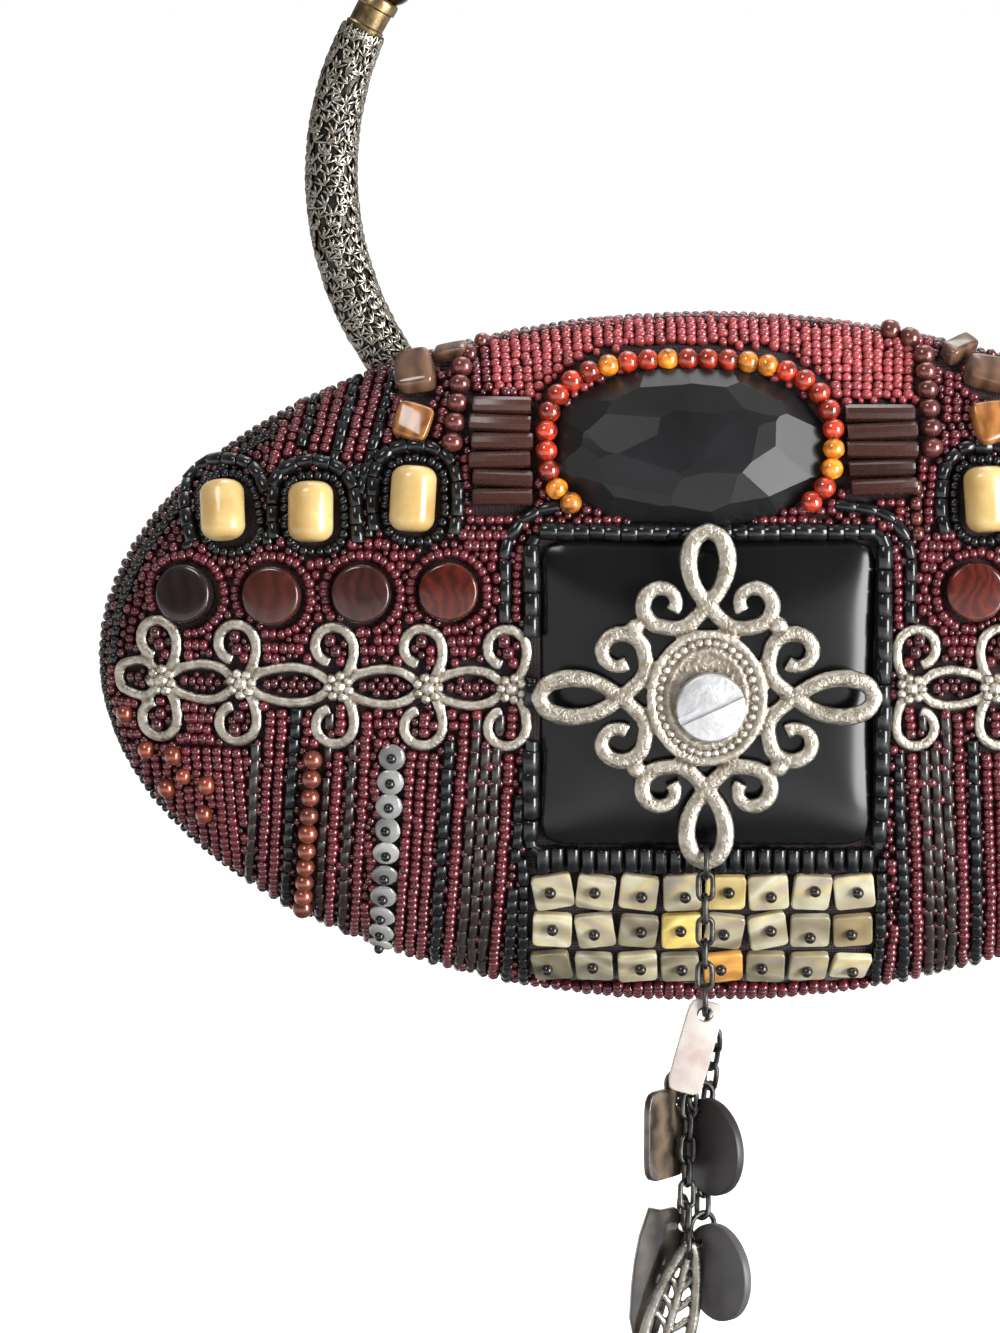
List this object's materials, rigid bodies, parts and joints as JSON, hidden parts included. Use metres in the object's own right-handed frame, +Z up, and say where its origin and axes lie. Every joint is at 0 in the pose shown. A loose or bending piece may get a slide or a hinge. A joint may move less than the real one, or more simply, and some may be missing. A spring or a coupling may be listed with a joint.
{
  "type": "beaded evening bag",
  "caption": "Oval evening bag sewn with beads and stones, with a curved tube handle, a cast medallion and a chain drop of charms.",
  "frame": {"origin": "underside of the grip at its middle, where a hand holds the bag up", "axes": "+Z up, -Y towards the beaded front, +X to the right as the front is seen"},
  "size_m": [0.228, 0.0567, 0.2856],
  "materials": {
    "pouch_cloth": "beaded cloth",
    "black_stone": "polished, opaque",
    "amber": "polished resin",
    "cast_silver": "antique silver casting",
    "bright_silver": "polished",
    "dark_bead": "polished",
    "bone": "polished bone",
    "chip_stone": "tumbled",
    "brown_bugle": "silky, opaque",
    "shell_tile": "pearly shell",
    "copper_bead": "pearlised, opaque",
    "spangle": "clear spangles",
    "gunmetal": "dark plated",
    "pearl_shell": "mother-of-pearl",
    "horn": "polished horn",
    "embossed_metal": "antique embossed",
    "old_brass": "antique brass"
  },
  "bodies": {
    "root": {"front_panel": "pouch_cloth", "back_panel": "pouch_cloth", "square_cabochon": "black_stone", "oval_stone": "black_stone", "black_disc_charm": "black_stone", "amber_string": "amber", "medallion": "cast_silver", "scroll_strip_left": "cast_silver", "scroll_strip_right": "cast_silver", "leaf_charm": "cast_silver", "medallion_disc": "bright_silver", "disc_bead_1": "dark_bead", "disc_bead_2": "dark_bead", "disc_bead_3": "dark_bead", "disc_bead_4": "dark_bead", "disc_bead_5": "dark_bead", "disc_bead_6": "dark_bead", "disc_bead_7": "dark_bead", "disc_bead_8": "dark_bead", "bone_bead_1": "bone", "bone_bead_2": "bone", "bone_bead_3": "bone", "bone_bead_4": "bone", "bone_bead_5": "bone", "bone_bead_6": "bone", "chip_1": "chip_stone", "chip_2": "chip_stone", "chip_3": "chip_stone", "chip_4": "chip_stone", "chip_5": "chip_stone", "chip_6": "chip_stone", "bugle_stack_left": "brown_bugle", "bugle_stack_right": "brown_bugle", "tile_row_1": "shell_tile", "tile_row_2": "shell_tile", "tile_row_3": "shell_tile", "copper_string_left": "copper_bead", "copper_string_right": "copper_bead", "pearl_string_left": "copper_bead", "pearl_string_right": "copper_bead", "spangle_string_left": "spangle", "spangle_string_right": "spangle", "drop_chain": "gunmetal", "grey_disc_charm": "gunmetal", "pearl_tag": "pearl_shell", "horn_tag": "horn", "shell_charm": "horn", "handle_tube_left": "embossed_metal", "handle_tube_right": "embossed_metal", "handle_grip": "embossed_metal", "ferrule_left": "old_brass", "ferrule_right": "old_brass", "knuckle_left": "old_brass", "knuckle_right": "old_brass", "grip_collar_left": "old_brass", "grip_collar_right": "old_brass"}
  },
  "joints": []
}
